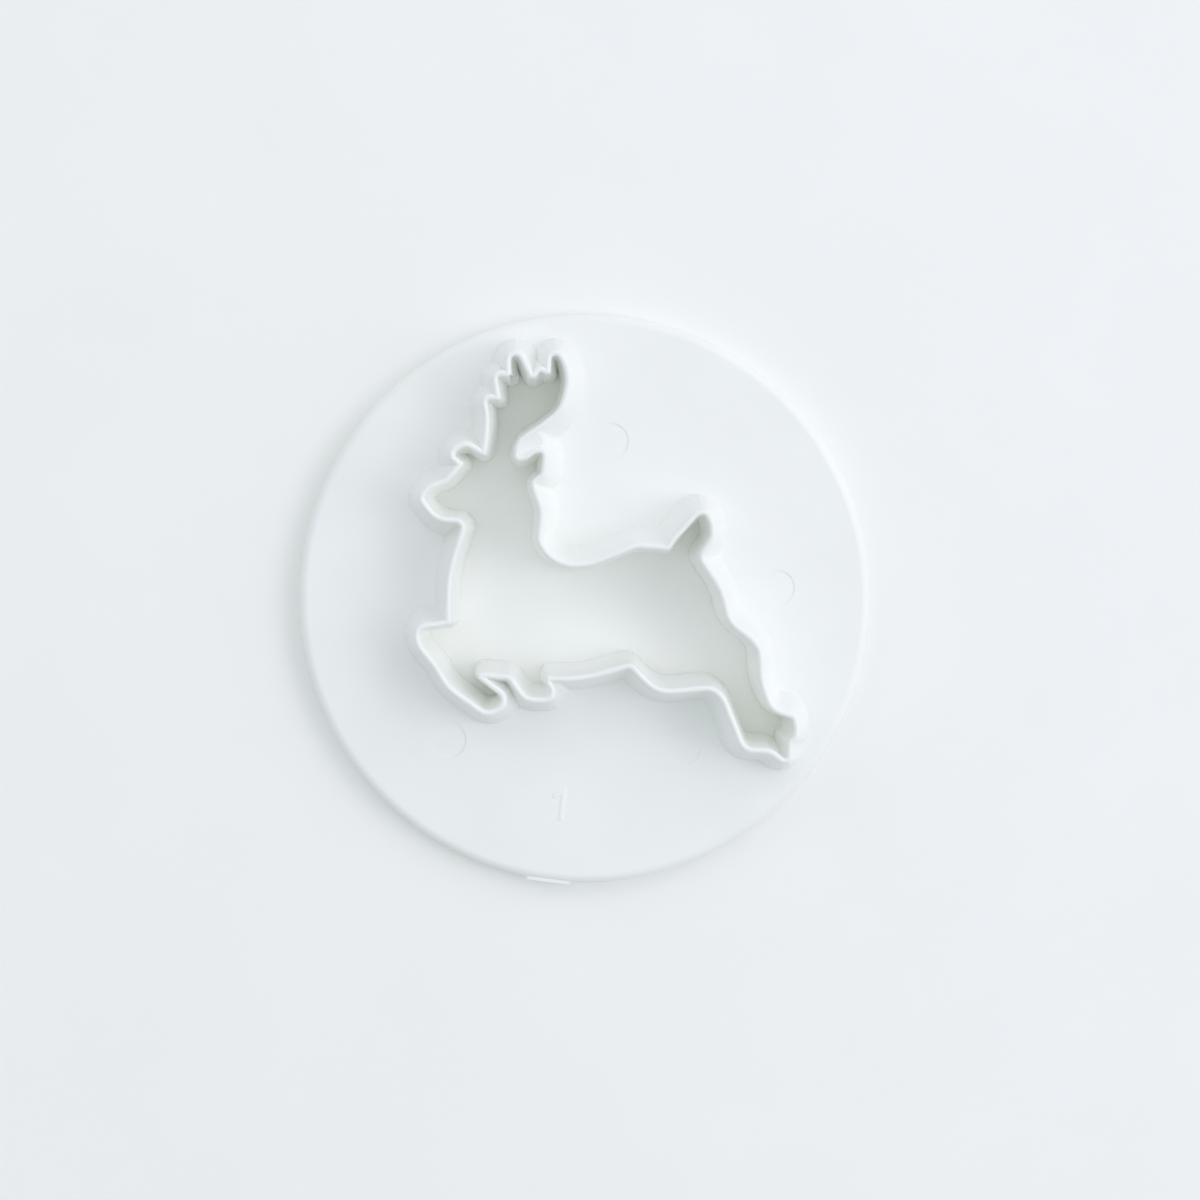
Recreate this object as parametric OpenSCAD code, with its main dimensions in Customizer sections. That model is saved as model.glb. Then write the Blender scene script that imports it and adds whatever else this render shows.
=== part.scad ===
// Cookie cutter: a round palm disc with a drafted cutter wall that follows a leaping reindeer.
// The disc lies on z = 0 with its centre at the origin, the lip points up, the gate is at -Y.
// The whole object is one white moulding; each module below is one region of it.

/* [Disc] */
// Width of the disc that is left outside the wall's foot, where the foot comes nearest the rim
rim_land = 2.65; // [1:0.1:20]
// Thickness of the disc
disc_t = 4; // [2:0.1:6]
// Radius that rounds the disc's upper and lower edges, at most near half its thickness
edge_round = 1.6; // [0.4:0.1:3]

/* [Figure] */
// Width of the reindeer, from its front knee to its hind hoof, inside the lip
figure_w = 61.8; // [52:0.1:64]
// Height of the reindeer, from its hind hoof to its antlers, inside the lip
figure_h = 65; // [56:0.1:67]
// Turn of the upright reindeer from the line through the gate, in degrees
figure_turn = 7.3; // [0:0.1:15]
// Middle of the reindeer's box, right of the disc's centre
figure_x = 2.25; // [0:0.05:3]
// Middle of the reindeer's box, behind the disc's centre
figure_y = 7.8; // [4:0.1:8]

/* [Cutter wall] */
// Height of wall and lip above the disc
wall_h = 10; // [6:0.5:25]
// How far the wall's outer face spreads out from lip to disc
outer_flare = 2.35; // [1:0.05:2.5]
// How far the wall's inner face comes in from lip to disc
inner_flare = 0.95; // [0.3:0.05:1]
// How far the solid web in the fold between antler and right ear lies below the lip's top
web_drop = 0.15; // [0.05:0.05:0.5]

/* [Cutting lip] */
// Thickness of the lip, which does the cutting
lip_w = 0.95; // [0.7:0.05:1.2]
// Height of the lip, above which the dough is cut clean
lip_h = 1; // [0.6:0.1:3]
// Radius that rounds both edges of the lip
lip_round = 0.3; // [0.1:0.05:0.3]

/* [Ejector marks] */
// Diameter of the four round marks of the ejector pins
mark_d = 6; // [3:0.5:7]
// Depth of these marks in the disc
mark_depth = 0.15; // [0.05:0.05:0.5]

/* [Gate] */
// Width of the flat where the plastic entered the mould
gate_w = 7.2; // [3:0.2:12]
// Thickness of the gate
gate_t = 1.8; // [0.8:0.1:2.2]
// How far the gate's top lies below the disc's top
gate_drop = 0.6; // [0.2:0.05:0.8]
// How far the cut face of the gate stands out from the rim
gate_proud = 0.2; // [0:0.05:0.6]

/* [Facets] */
// How far the facets of a curve may cut across it
curve_error = 0.04; // [0.02:0.005:0.1]
// Number of sides of a full round at a sharp corner of the wall
corner_sides = 24; // [16:4:48]

/* [Hidden] */
plastic = [0.91, 0.93, 0.94];
overrun = 1;
// A rounded edge takes at most this share of the disc's thickness
round_share = 0.45;
edge_r = min(edge_round, round_share * disc_t);
// Level of the gate's top, and of its underside or the disc's
gate_top = disc_t - gate_drop;
gate_floor = max(0, gate_top - gate_t);
// The gate reaches in to where its top comes out of the disc's rounded edge
gate_depth = edge_r - sqrt(max(0, pow(edge_r, 2) - pow(edge_r - gate_drop, 2)));
// Points of a curve that lie closer together than this are one point
least_step = 0.04;
// Widest turn between two facets of a curve, in degrees
widest_turn = 36;
// A point of the outline that turns by more than this gets a round of its own, in degrees
sharp_turn = 40;
// How far each side of the wall reaches across its middle line into the other side
overlap = 0.1;
// Facets of the lip's rounded edges
round_steps = 1;
// A corner with this radius share is as round as its neighbours let it be
FULL = 1;
// Rounds that the web between antler and right ear spans, as in the outline's corners below
web_shares = [[0.2864, 0.7708, 0.0194], [0.3175, 0.793, 0.0194]];
// Places of the ejector marks, as shares of the disc's radius
mark_shares = [[0.017, 0.563], [0.66, 0.13], [-0.412, -0.547], [0.408, -0.466]];

// The reindeer's outline at the lip's inner edge, clockwise from the lower small tine.
// Each corner: share of the width from the left, share of the height from the bottom, and
// radius as a share of the width.
small_tine_shares = [
    [0.1895, 0.8955, 0.010], [0.213, 0.8895, FULL], [0.228, 0.892, 0.004],
    [0.218, 0.950, 0.010], [0.233, 0.9515, FULL], [0.246, 0.946, FULL], [0.255, 0.949, 0.004]
];
left_tine_shares = [
    [0.252, 0.978, FULL], [0.254, 1.0005, 0.016], [0.2735, 1.0005, 0.018],
    [0.301, 0.945, 0.010], [0.3155, 0.9445, 0.020]
];
middle_tine_shares = [
    [0.330, 0.9635, 0.016], [0.342, 0.955, 0.014], [0.3565, 0.956, 0.004]
];
right_tine_shares = [
    [0.3585, 1.001, 0.020], [0.3765, 1.0015, 0.020], [0.3957, 0.964, FULL],
    [0.3957, 0.921, FULL], [0.3786, 0.8703, FULL], [0.348, 0.8448, FULL]
];
crook_shares = [
    [0.2721, 0.7967, FULL], [0.2612, 0.7675, FULL], [0.2612, 0.7402, 0.022], [0.2895, 0.7402, FULL]
];
right_ear_shares = [
    [0.318, 0.761, FULL], [0.337, 0.7605, 0.020], [0.3315, 0.710, 0.008], [0.305, 0.692, FULL]
];
neck_shares = [
    [0.3055, 0.674, FULL], [0.3265, 0.620, FULL], [0.3265, 0.593, FULL],
    [0.3202, 0.558, FULL], [0.3202, 0.541, FULL], [0.3398, 0.5062, FULL]
];
back_shares = [
    [0.3869, 0.4754, FULL], [0.4565, 0.4754, FULL], [0.5787, 0.5246, FULL],
    [0.612, 0.5246, FULL], [0.6672, 0.5176, 0.016]
];
tail_shares = [
    [0.6853, 0.5455, FULL], [0.7452, 0.608, 0.030], [0.7617, 0.608, 0.030], [0.7748, 0.5792, FULL],
    [0.7748, 0.5517, FULL], [0.7457, 0.511, FULL], [0.7457, 0.4938, FULL]
];
rump_shares = [
    [0.805, 0.411, FULL], [0.8165, 0.337, FULL], [0.879, 0.297, FULL], [0.9027, 0.2667, FULL]
];
hind_leg_shares = [
    [0.903, 0.190, FULL], [0.9329, 0.1213, FULL], [0.9638, 0.106, FULL]
];
hind_hoof_shares = [
    [0.993, 0.099, 0.008], [0.999, 0.073, FULL], [0.9965, 0.0535, 0.012], [0.981, 0.044, 0.014],
    [0.9795, 0, 0.008], [0.9708, 0, 0.012], [0.937, 0.0262, FULL], [0.872, 0.0262, 0.030]
];
belly_shares = [
    [0.8156, 0.1604, FULL], [0.7815, 0.1825, FULL], [0.750, 0.1828, FULL], [0.700, 0.1755, FULL],
    [0.6478, 0.174, FULL], [0.615, 0.194, FULL], [0.5745, 0.2375, 0.060], [0.556, 0.238, FULL],
    [0.470, 0.2125, FULL], [0.410, 0.2035, FULL]
];
near_hoof_shares = [
    [0.3455, 0.2075, 0.004], [0.3435, 0.188, 0.010], [0.355, 0.172, 0.020], [0.355, 0.1515, 0.018],
    [0.2975, 0.1515, 0.040], [0.275, 0.178, FULL], [0.253, 0.211, 0.030]
];
leg_notch_shares = [
    [0.210, 0.211, FULL], [0.190, 0.215, FULL], [0.168, 0.213, 0.008], [0.1655, 0.1985, 0.004]
];
far_hoof_shares = [
    [0.2265, 0.1545, 0.014], [0.2268, 0.1335, 0.016], [0.2033, 0.119, FULL],
    [0.1815, 0.119, 0.040], [0.158, 0.1385, FULL]
];
knee_shares = [
    [0.110, 0.1685, FULL], [0.085, 0.1925, FULL], [0.065, 0.230, FULL], [0.015, 0.287, FULL],
    [0.0135, 0.3235, 0.024], [0.060, 0.325, FULL], [0.0968, 0.3345, 0.012]
];
chest_shares = [
    [0.0965, 0.428, FULL], [0.103, 0.470, FULL], [0.122, 0.533, FULL],
    [0.1404, 0.5791, FULL], [0.1206, 0.6022, FULL]
];
muzzle_shares = [
    [0.063, 0.601, 0.120], [0.0245, 0.648, 0.012], [0.040, 0.667, FULL],
    [0.087, 0.6845, FULL], [0.100, 0.698, FULL]
];
left_ear_shares = [
    [0.1325, 0.7335, 0.010], [0.105, 0.7535, 0.010], [0.109, 0.764, FULL],
    [0.137, 0.779, 0.030], [0.1735, 0.755, FULL], [0.188, 0.755, 0.010]
];
stem_shares = [[0.193, 0.780, FULL], [0.200, 0.845, FULL]];
outline_shares = concat(
    small_tine_shares, left_tine_shares, middle_tine_shares, right_tine_shares, crook_shares,
    right_ear_shares, neck_shares, back_shares, tail_shares, rump_shares, hind_leg_shares,
    hind_hoof_shares, belly_shares, near_hoof_shares, leg_notch_shares, far_hoof_shares,
    knee_shares, chest_shares, muzzle_shares, left_ear_shares, stem_shares
);

// The middle of the lip, half its thickness outside the outline
middle_line = outline(lip_w / 2);

// The disc is as large as the wall's foot and the land round it ask
disc_r = max([for (p = middle_line) norm(placed(p))]) + lip_w / 2 + outer_flare + rim_land;

function unit(v) = v / norm(v);

// Corner i of the outline, in its own box with the middle at the origin
function corner(i) =
    let (share = outline_shares[(i + len(outline_shares)) % len(outline_shares)])
    [(share[0] - 1 / 2) * figure_w, (share[1] - 1 / 2) * figure_h];

// Points of the arc that rounds corner b between a and c, moved outwards by away
function arc_points(a, b, c, radius, away) =
    let (
        to_a = unit(a - b),
        to_c = unit(c - b),
        turn = 180 - acos(to_a * to_c),
        // 1 where the outline bulges out, -1 where it folds in
        side = cross(b - a, c - b) < 0 ? 1 : -1,
        reach = min(radius * tan(turn / 2), norm(a - b) / 2, norm(c - b) / 2),
        own_r = reach / tan(turn / 2),
        inward = unit(to_a + to_c),
        centre = b + inward * own_r / cos(turn / 2),
        start = b + to_a * reach - centre,
        moved_r = own_r + side * away,
        step = min(widest_turn, 2 * acos(1 - min(curve_error / max(moved_r, curve_error), 1))),
        steps = ceil(turn / step),
        from = atan2(start[1], start[0])
    )
    moved_r <= curve_error
        ? [b - side * inward * away / cos(turn / 2)]
        : [for (k = [0:steps]) centre + moved_r * [
            cos(from - side * turn * k / steps), sin(from - side * turn * k / steps)
        ]];

// The points without those that lie on the one before them
function apart(points) =
    [for (i = [0:len(points) - 1])
        if (norm(points[i] - points[(i + len(points) - 1) % len(points)]) > least_step) points[i]];

// The closed outline, moved outwards by away
function outline(away) = apart([
    for (i = [0:len(outline_shares) - 1])
        each arc_points(corner(i - 1), corner(i), corner(i + 1),
            outline_shares[i][2] * figure_w, away)
]);

// Point p of the figure's own box in its place on the disc
function placed(p) = [
    figure_x + p[0] * cos(figure_turn) - p[1] * sin(figure_turn),
    figure_y + p[0] * sin(figure_turn) + p[1] * cos(figure_turn)
];

// Puts a shape drawn in the figure's own box in its place on the disc
module on_disc(z) {
    translate([figure_x, figure_y, z]) rotate(figure_turn) children();
}

// Unit vector that points outwards from edge i of the closed line of points
function outward(points, i) =
    let (
        from = points[(i + len(points)) % len(points)],
        along = unit(points[(i + 1 + len(points)) % len(points)] - from)
    )
    [-along[1], along[0]];

// True where the side does not open like a gentle fan at point i: one run of the wall ends
// there and the next begins
function breaks(points, i, side) =
    let (
        before = outward(points, i - 1),
        after = outward(points, i)
    )
    side * cross(before, after) >= 0 || before * after < cos(sharp_turn);

// True where the side opens so sharply at point i that it needs a round of its own
function is_sharp(points, i, side) =
    side * cross(outward(points, i - 1), outward(points, i)) < 0 && breaks(points, i, side);

// The profile [away, up] drawn upright at point i, set off along direction
function section_points(point, direction, profile) =
    [for (q = profile) [
        point[0] + direction[0] * q[0], point[1] + direction[1] * q[0], q[1]
    ]];

// Direction of the section at point i of the run from point first to point last
function section_direction(points, i, first, last) =
    i == first ? outward(points, i)
    : i == last ? outward(points, i - 1)
    : let (
        before = outward(points, i - 1),
        after = outward(points, i)
    )
    (before + after) / (1 + before * after);

// The wall beside one run of points; side 1 lies outside the line, side -1 inside it
module run_piece(points, first, last, side, profile) {
    count = len(profile);
    sections = last - first;
    order = side > 0 ? [first:last] : [last:-1:first];
    vertices = [for (i = order) each section_points(
        points[i % len(points)], side * section_direction(points, i, first, last), profile
    )];
    faces = concat(
        [[for (k = [0:count - 1]) k]],
        [[for (k = [0:count - 1]) (sections + 1) * count - 1 - k]],
        [for (m = [0:sections - 1]) for (k = [0:count - 1]) [
            m * count + k, (m + 1) * count + k,
            (m + 1) * count + (k + 1) % count, m * count + (k + 1) % count
        ]]
    );
    if (sections == 1)
        hull() polyhedron(vertices, faces);
    else
        polyhedron(vertices, faces);
}

// Runs the profile [away, up] along one side of the closed line of points, and round its
// sharp corners
module one_side(points, side, profile) {
    starts = [for (i = [0:len(points) - 1]) if (breaks(points, i, side)) i];
    for (k = [0:len(starts) - 1]) {
        next = k < len(starts) - 1 ? starts[k + 1] : starts[0] + len(points);
        run_piece(points, starts[k], next, side, profile);
        if (is_sharp(points, starts[k], side))
            translate(points[starts[k]])
                rotate_extrude($fn = corner_sides)
                    intersection() {
                        polygon(profile);
                        translate([0, -2 * overrun]) square(wall_h + 4 * overrun);
                    }
    }
}

// Section of one side of the wall, which spreads by flare from its top to its foot; it runs on
// above and below the wall, and is cut level afterwards
function wall_profile(flare) =
    let (
        flank_h = wall_h - lip_h,
        slope = flare / flank_h
    )
    [
        [-overlap, -overrun],
        [lip_w / 2 + flare + slope * overrun, -overrun],
        [lip_w / 2 - slope * overrun, flank_h + overrun],
        [-overlap, flank_h + overrun]
    ];

// Section of one side of the lip, with a rounded upper edge; it runs on in the same way
function lip_profile() =
    let (
        rounded = [for (k = [0:round_steps]) [
            lip_w / 2 - lip_round * (1 - cos(90 * k / round_steps)),
            lip_h - lip_round * (1 - sin(90 * k / round_steps))
        ]],
        rise = rounded[round_steps] - rounded[round_steps - 1],
        // Half of the way that is left from the round to the middle line
        reach = (lip_w / 2 - lip_round) / 2,
        top = rounded[round_steps] - rise * reach / rise[0]
    )
    concat(
        [[-overlap, -overrun], [lip_w / 2, -overrun]],
        [for (k = [0:round_steps - 1]) rounded[k]],
        [top, [-overlap, top[1]]]
    );

// The web that fills the narrow fold between antler and right ear, wider by flare at its foot
module web(height, flare) {
    hull()
        for (share = web_shares) {
            web_r = share[2] * figure_w;
            translate([(share[0] - 1 / 2) * figure_w, (share[1] - 1 / 2) * figure_h, 0])
                cylinder(h = height, r1 = web_r + flare, r2 = web_r, $fn = corner_sides);
        }
}

// Both sides of the wall or lip, joined by what is given with them outside the lip's middle
// line, and cut level at the foot and at height
module both_sides(height, outer_profile, inner_profile) {
    intersection() {
        union() {
            difference() {
                union() {
                    one_side(middle_line, 1, outer_profile);
                    children();
                }
                // What reaches across a narrow notch into the figure
                translate([0, 0, -2 * overrun])
                    linear_extrude(wall_h + 4 * overrun) polygon(outline(lip_w / 2 - overlap / 2));
            }
            one_side(middle_line, -1, inner_profile);
        }
        translate([-2 * disc_r, -2 * disc_r, 0]) cube([4 * disc_r, 4 * disc_r, height]);
    }
}

// The opening that goes through the disc, at the wall's inner foot
module opening_outline() {
    offset(r = -lip_w / 2 - inner_flare, $fn = corner_sides) polygon(middle_line);
}

// A quarter of a round of the disc's edge, at the disc's top or bottom
module edge_quarter(level, up) {
    translate([disc_r - edge_r, level])
        intersection() {
            circle(edge_r, $fn = 48);
            translate([0, up > 0 ? 0 : -edge_r]) square(edge_r);
        }
}

// The disc's section, with both outer edges rounded
module disc_section() {
    square([disc_r - edge_r, disc_t]);
    translate([0, edge_r]) square([disc_r, disc_t - 2 * edge_r]);
    edge_quarter(disc_t - edge_r, 1);
    edge_quarter(edge_r, -1);
}

// The block of plastic at the gate, longer by extra towards the outside and up to level top
module gate_block(extra, top) {
    translate([-gate_w / 2, -disc_r - gate_proud - extra, gate_floor])
        cube([gate_w, gate_proud + gate_depth + extra, top - gate_floor]);
}

module base_disc() {
    color(plastic)
        difference() {
            rotate_extrude($fn = 180) disc_section();
            on_disc(-overrun) linear_extrude(disc_t + 2 * overrun) opening_outline();
            for (share = mark_shares) {
                translate([share[0] * disc_r, share[1] * disc_r, disc_t - mark_depth])
                    cylinder(h = mark_depth + overrun, d = mark_d, $fn = 48);
            }
            gate_block(overrun, disc_t + overrun);
        }
}

module cutter_wall() {
    color(plastic)
        on_disc(disc_t)
            both_sides(wall_h - lip_h, wall_profile(outer_flare), wall_profile(inner_flare))
                web(wall_h - lip_h, outer_flare);
}

module cutting_lip() {
    color(plastic)
        on_disc(disc_t + wall_h - lip_h)
            both_sides(lip_h, lip_profile(), lip_profile())
                web(lip_h - web_drop, 0);
}

module gate_tab() {
    color(plastic) gate_block(0, gate_top);
}

base_disc();
cutter_wall();
cutting_lip();
gate_tab();
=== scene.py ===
"""Cookie cutter: white moulded plastic on a pale table, seen from above in soft daylight."""
import math

import bmesh
import bpy
from mathutils import Matrix, Vector


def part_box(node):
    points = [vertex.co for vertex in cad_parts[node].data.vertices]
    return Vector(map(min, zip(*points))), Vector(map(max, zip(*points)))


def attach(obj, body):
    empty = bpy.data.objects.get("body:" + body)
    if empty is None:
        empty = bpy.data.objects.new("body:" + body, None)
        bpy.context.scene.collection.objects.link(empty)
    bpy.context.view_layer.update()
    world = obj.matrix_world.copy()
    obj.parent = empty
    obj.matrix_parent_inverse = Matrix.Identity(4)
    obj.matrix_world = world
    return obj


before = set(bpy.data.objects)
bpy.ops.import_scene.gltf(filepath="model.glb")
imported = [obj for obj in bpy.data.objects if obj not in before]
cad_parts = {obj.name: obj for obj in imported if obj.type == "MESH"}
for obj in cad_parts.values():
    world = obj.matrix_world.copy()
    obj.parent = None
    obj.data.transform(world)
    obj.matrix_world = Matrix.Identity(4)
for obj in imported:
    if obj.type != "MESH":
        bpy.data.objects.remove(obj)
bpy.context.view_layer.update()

scene = bpy.context.scene
MM = 0.001
# Level of the disc's upper side
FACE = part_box("base_disc")[1][2]
# Radius of the disc's rounded edges
EDGE_ROUND = 1.6 * MM
# Vertices closer than this are welded before a mesh is shaded
WELD = 0.002 * MM
# Facets that meet at less than this many degrees are shaded as one curve
SMOOTH_BELOW = {"base_disc": 32, "cutter_wall": 60, "cutting_lip": 60, "gate_tab": 32}
# Angle from the disc's +X to the picture's right
TURN = math.radians(7.43)
# Soft panels, which are the window's glow on the picture's right and the room's on its other
# sides: azimuth from the picture's right towards its top, elevation, both in degrees, and watts
LAMPS = {
    "window_low": (0, 32, 4.02),
    "window_high": (0, 46, 2.90),
    "window_corner": (45, 32, 3.29),
    "behind": (90, 60, 1.22),
    "far_corner": (135, 32, 2.42),
    "left": (180, 32, 0.38),
    "ceiling": (0, 90, 1.14),
}


def srgb(r, g, b):
    """Linear colour of an 8-bit sRGB one."""
    def lin(c):
        c = c / 255
        return c / 12.92 if c <= 0.04045 else ((c + 0.055) / 1.055) ** 2.4
    return (lin(r), lin(g), lin(b), 1.0)


class Finish:
    """A new material, with its shader and its object coordinates."""

    def __init__(self, name):
        self.material = bpy.data.materials.new(name)
        self.material.use_nodes = True
        self.tree = self.material.node_tree
        self.tree.nodes.clear()
        self.link = self.tree.links.new
        self.where = self.add("ShaderNodeTexCoord")
        self.shader = self.add("ShaderNodeBsdfPrincipled")
        output = self.add("ShaderNodeOutputMaterial")
        self.link(self.shader.outputs["BSDF"], output.inputs["Surface"])

    def add(self, kind, **inputs):
        """A new node, with these values in its inputs of the same names."""
        node = self.tree.nodes.new(kind)
        for name, value in inputs.items():
            node.inputs[name.replace("_", " ")].default_value = value
        return node

    def noise(self, scale, detail, roughness):
        """Noise fixed to the object, with about scale waves in a metre."""
        node = self.add("ShaderNodeTexNoise", Scale=scale, Detail=detail, Roughness=roughness)
        self.link(self.where.outputs["Object"], node.inputs["Vector"])
        return node.outputs["Fac"]

    def tint(self, noise, darker, lighter):
        """The base colour drifts between two tones with the noise."""
        ramp = self.add("ShaderNodeValToRGB")
        low, high = ramp.color_ramp.elements
        low.position = 0.3
        low.color = darker
        high.position = 0.7
        high.color = lighter
        self.link(noise, ramp.inputs["Fac"])
        self.link(ramp.outputs["Color"], self.shader.inputs["Base Color"])

    def relief(self, noise, strength, depth, under=None):
        """Normal of a surface that the noise makes uneven by depth, on top of another normal."""
        bump = self.add("ShaderNodeBump", Strength=strength, Distance=depth)
        self.link(noise, bump.inputs["Height"])
        if under:
            self.link(under, bump.inputs["Normal"])
        return bump.outputs["Normal"]


def plastic_material():
    """Satin white plastic: clouded colour, gloss rubbed duller in patches, fine mould grain."""
    finish = Finish("satin_white_plastic")
    finish.shader.inputs["IOR"].default_value = 1.49
    clouds = finish.noise(scale=55, detail=3, roughness=0.5)
    finish.tint(clouds, srgb(242, 244, 240), srgb(246, 248, 244))
    gloss = finish.add("ShaderNodeMapRange", To_Min=0.46, To_Max=0.6)
    rubbed = finish.noise(scale=160, detail=5, roughness=0.6)
    finish.link(rubbed, gloss.inputs["Value"])
    finish.link(gloss.outputs["Result"], finish.shader.inputs["Roughness"])
    waves = finish.noise(scale=90, detail=2, roughness=0.4)
    wavy = finish.relief(waves, strength=0.25, depth=0.06 * MM)
    grain = finish.noise(scale=2600, detail=2, roughness=0.55)
    grained = finish.relief(grain, strength=0.35, depth=0.006 * MM, under=wavy)
    finish.link(grained, finish.shader.inputs["Normal"])
    return finish.material


def table_material():
    """Pale matt table top."""
    finish = Finish("pale_table")
    finish.shader.inputs["Roughness"].default_value = 0.75
    finish.shader.inputs["Specular IOR Level"].default_value = 0.2
    flecks = finish.noise(scale=30, detail=6, roughness=0.6)
    finish.tint(flecks, srgb(246, 247, 243), srgb(248, 249, 245))
    return finish.material


def math_nodes(group, kind):
    """A function that adds a math node of this kind, fed by numbers or sockets, to the group."""
    def result(operation, *terms):
        made = group.nodes.new(kind)
        made.operation = operation
        for socket, term in zip(made.inputs, terms):
            if isinstance(term, float):
                socket.default_value = term
            else:
                group.links.new(term, socket)
        return made.outputs[0]
    return result


def rim_normal(group):
    """Field with the true normal on the disc's rounded rim, and the mesh's own elsewhere."""
    low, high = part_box("base_disc")
    # The rim faces away from a band inside it, of this radius and between these levels
    ring = (high[0] - low[0]) / 2 - EDGE_ROUND
    lowest = low[2] + EDGE_ROUND
    highest = high[2] - EDGE_ROUND
    margin = 0.01 * MM
    node = group.nodes.new
    link = group.links.new
    number = math_nodes(group, "ShaderNodeMath")
    vector = math_nodes(group, "ShaderNodeVectorMath")

    place = node("GeometryNodeInputPosition").outputs[0]
    split = node("ShaderNodeSeparateXYZ")
    link(place, split.inputs[0])
    x, y, z = split.outputs
    squares = number("ADD", number("MULTIPLY", x, x), number("MULTIPLY", y, y))
    radius = number("SQRT", squares)
    share = number("DIVIDE", ring, radius)
    nearest = node("ShaderNodeCombineXYZ")
    link(number("MULTIPLY", x, share), nearest.inputs[0])
    link(number("MULTIPLY", y, share), nearest.inputs[1])
    link(number("MINIMUM", number("MAXIMUM", z, lowest), highest), nearest.inputs[2])
    outwards = vector("NORMALIZE", vector("SUBTRACT", place, nearest.outputs[0]))

    on_rim = node("FunctionNodeCompare")
    on_rim.data_type = "FLOAT"
    on_rim.operation = "GREATER_THAN"
    on_rim.inputs["B"].default_value = ring - margin
    link(radius, on_rim.inputs["A"])
    choice = node("GeometryNodeSwitch")
    choice.input_type = "VECTOR"
    link(on_rim.outputs[0], choice.inputs["Switch"])
    link(node("GeometryNodeInputNormal").outputs["Normal"], choice.inputs["False"])
    link(outwards, choice.inputs["True"])
    return choice.outputs[0]


def shade_group(region):
    """Node group that shades a region smooth, apart from its sharper edges."""
    group = bpy.data.node_groups.new("shade_" + region, "GeometryNodeTree")
    for direction in ("INPUT", "OUTPUT"):
        group.interface.new_socket("Geometry", in_out=direction, socket_type="NodeSocketGeometry")
    node = group.nodes.new
    link = group.links.new
    start = node("NodeGroupInput")
    end = node("NodeGroupOutput")
    weld = node("GeometryNodeMergeByDistance")
    weld.inputs["Distance"].default_value = WELD
    faces = node("GeometryNodeSetShadeSmooth")
    faces.domain = "FACE"
    edges = node("GeometryNodeSetShadeSmooth")
    edges.domain = "EDGE"
    angle = node("GeometryNodeInputMeshEdgeAngle")
    below = node("FunctionNodeCompare")
    below.data_type = "FLOAT"
    below.operation = "LESS_THAN"
    below.inputs["B"].default_value = math.radians(SMOOTH_BELOW[region])
    link(start.outputs[0], weld.inputs["Geometry"])
    link(weld.outputs["Geometry"], faces.inputs["Geometry"])
    link(faces.outputs["Geometry"], edges.inputs["Geometry"])
    link(angle.outputs["Unsigned Angle"], below.inputs["A"])
    link(below.outputs["Result"], edges.inputs["Shade Smooth"])
    shaded = edges.outputs["Geometry"]
    if region == "base_disc":
        rim = node("GeometryNodeSetMeshNormal")
        rim.mode = "FREE"
        rim.domain = "CORNER"
        link(shaded, rim.inputs["Mesh"])
        link(rim_normal(group), rim.inputs["Custom Normal"])
        shaded = rim.outputs["Mesh"]
    link(shaded, end.inputs[0])
    return group


def dress_moulding(plastic):
    """The moulding's four regions get the plastic and their shading."""
    for region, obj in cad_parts.items():
        for slot in obj.material_slots:
            slot.material = plastic
        shade = obj.modifiers.new("shade", "NODES")
        shade.node_group = shade_group(region)


def outward(start, end):
    """Unit vector that points out of a clockwise outline, square to its side from start to end."""
    side = end - start
    return Vector((-side.y, side.x)).normalized()


def stand_out(before, corner, after, reach):
    """The corner of a clockwise outline, after both its sides stepped out by reach."""
    out_a = outward(before, corner)
    out_b = outward(corner, after)
    return corner + (out_a + out_b) / (1 + out_a.dot(out_b)) * reach


def numeral_mesh():
    """A 1 with sloping sides, from its raised top down to a wider foot sunk into the disc."""
    relief = 0.13
    slope = 0.3
    sunk = 0.02
    # Corners of the top, in mm from the disc's centre, clockwise from the top of the stem
    outline = [(0.46, -31.70), (0.88, -31.70), (0.88, -36.90), (0.42, -36.90), (0.42, -32.60),
               (-0.89, -33.32), (-1.04, -33.18), (-1.04, -32.96)]
    top = [Vector(corner) for corner in outline]
    count = len(top)
    foot = [stand_out(top[k - 1], top[k], top[(k + 1) % count], slope) for k in range(count)]
    shape = bmesh.new()
    upper = [shape.verts.new((p.x * MM, p.y * MM, FACE + relief * MM)) for p in top]
    lower = [shape.verts.new((p.x * MM, p.y * MM, FACE - sunk * MM)) for p in foot]
    shape.faces.new(upper)
    for k in range(count):
        shape.faces.new((upper[k - 1], upper[k], lower[k], lower[k - 1]))
    bmesh.ops.recalc_face_normals(shape, faces=shape.faces)
    for face in shape.faces:
        face.smooth = True
    mesh = bpy.data.meshes.new("numeral")
    shape.to_mesh(mesh)
    shape.free()
    return mesh


def numeral_one(plastic):
    """The low raised numeral 1 on the disc near the gate, with rounded edges."""
    piece = bpy.data.objects.new("numeral", numeral_mesh())
    piece.data.materials.append(plastic)
    scene.collection.objects.link(piece)
    rounded = piece.modifiers.new("round", "BEVEL")
    rounded.width = 0.08 * MM
    rounded.segments = 3
    rounded.limit_method = "ANGLE"
    rounded.angle_limit = math.radians(25)
    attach(piece, "root")


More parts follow.
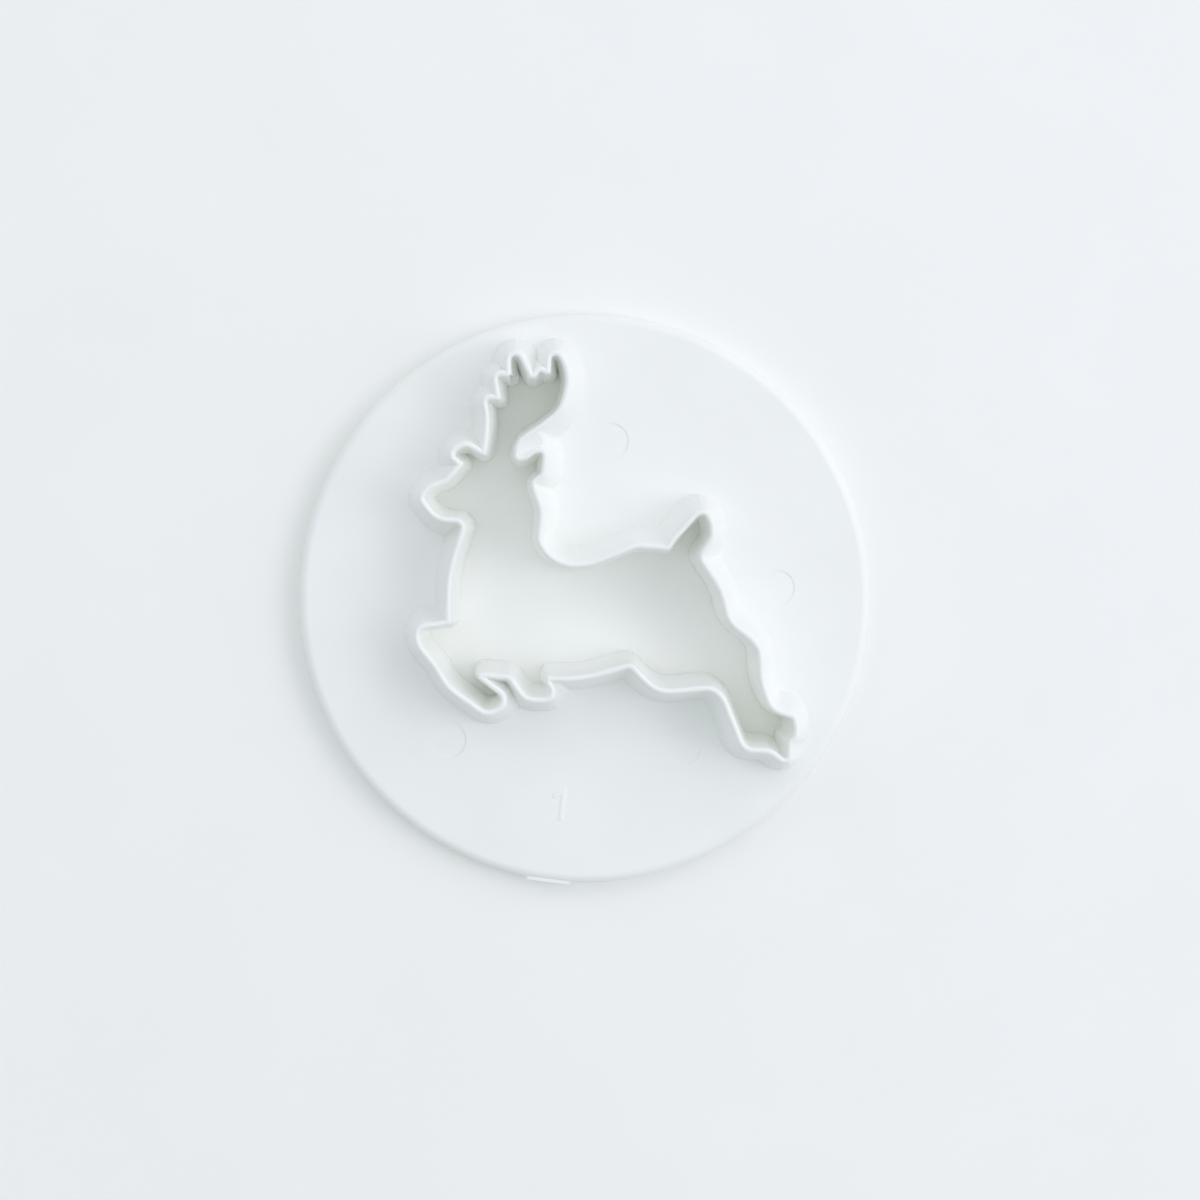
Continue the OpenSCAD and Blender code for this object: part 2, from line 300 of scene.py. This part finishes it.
def lay_table():
    """The table top, which fills the picture. It lies a hair below the disc's underside."""
    half = 4.0
    clearance = 0.05 * MM
    corners = [(-half, -half, 0), (half, -half, 0), (half, half, 0), (-half, half, 0)]
    mesh = bpy.data.meshes.new("table")
    mesh.from_pydata(corners, [], [(0, 1, 2, 3)])
    mesh.materials.append(table_material())
    table = bpy.data.objects.new("table", mesh)
    table.location.z = -clearance
    scene.collection.objects.link(table)


def place_camera():
    """The camera looks down on the disc, a little from behind its centre."""
    eye = Vector((-4.1 * MM, 22.7 * MM, FACE + 377.4 * MM))
    target = Vector((2.47 * MM, 0.40 * MM, FACE))
    picture_top = Vector((-math.sin(TURN), math.cos(TURN), 0))
    back = (eye - target).normalized()
    right = picture_top.cross(back).normalized()
    axes = Matrix((right, back.cross(right), back)).transposed()
    data = bpy.data.cameras.new("camera")
    data.sensor_width = 36
    data.lens = 68.25
    data.clip_start = 0.01
    data.clip_end = 20
    camera = bpy.data.objects.new("camera", data)
    camera.matrix_world = Matrix.Translation(eye) @ axes.to_4x4()
    scene.collection.objects.link(camera)
    scene.camera = camera


def hang_lamp(name, azimuth, elevation, power):
    """A soft square panel that faces the disc's centre."""
    distance = 1.6
    side = 0.9
    light = bpy.data.lights.new(name, "AREA")
    light.shape = "SQUARE"
    light.size = side
    light.energy = power
    light.color = (1.036, 1.0, 1.102)
    turned = math.radians(azimuth) + TURN
    raised = math.radians(elevation)
    flat = math.cos(raised)
    direction = Vector((math.cos(turned) * flat, math.sin(turned) * flat, math.sin(raised)))
    lamp = bpy.data.objects.new(name, light)
    lamp.location = direction * distance
    lamp.rotation_euler = direction.to_track_quat("Z", "Y").to_euler()
    scene.collection.objects.link(lamp)


def light_room():
    """An even, slightly blue glow from all round."""
    world = bpy.data.worlds.new("world")
    world.use_nodes = True
    glow = world.node_tree.nodes["Background"]
    glow.inputs["Color"].default_value = (0.935, 1.0, 1.056, 1)
    glow.inputs["Strength"].default_value = 0.573
    scene.world = world


plastic = plastic_material()
dress_moulding(plastic)
numeral_one(plastic)
lay_table()
place_camera()
for name, (azimuth, elevation, power) in LAMPS.items():
    hang_lamp(name, azimuth, elevation, power)
light_room()
scene.view_settings.view_transform = "Standard"
# White walls close together light each other many times over
scene.cycles.diffuse_bounces = 12
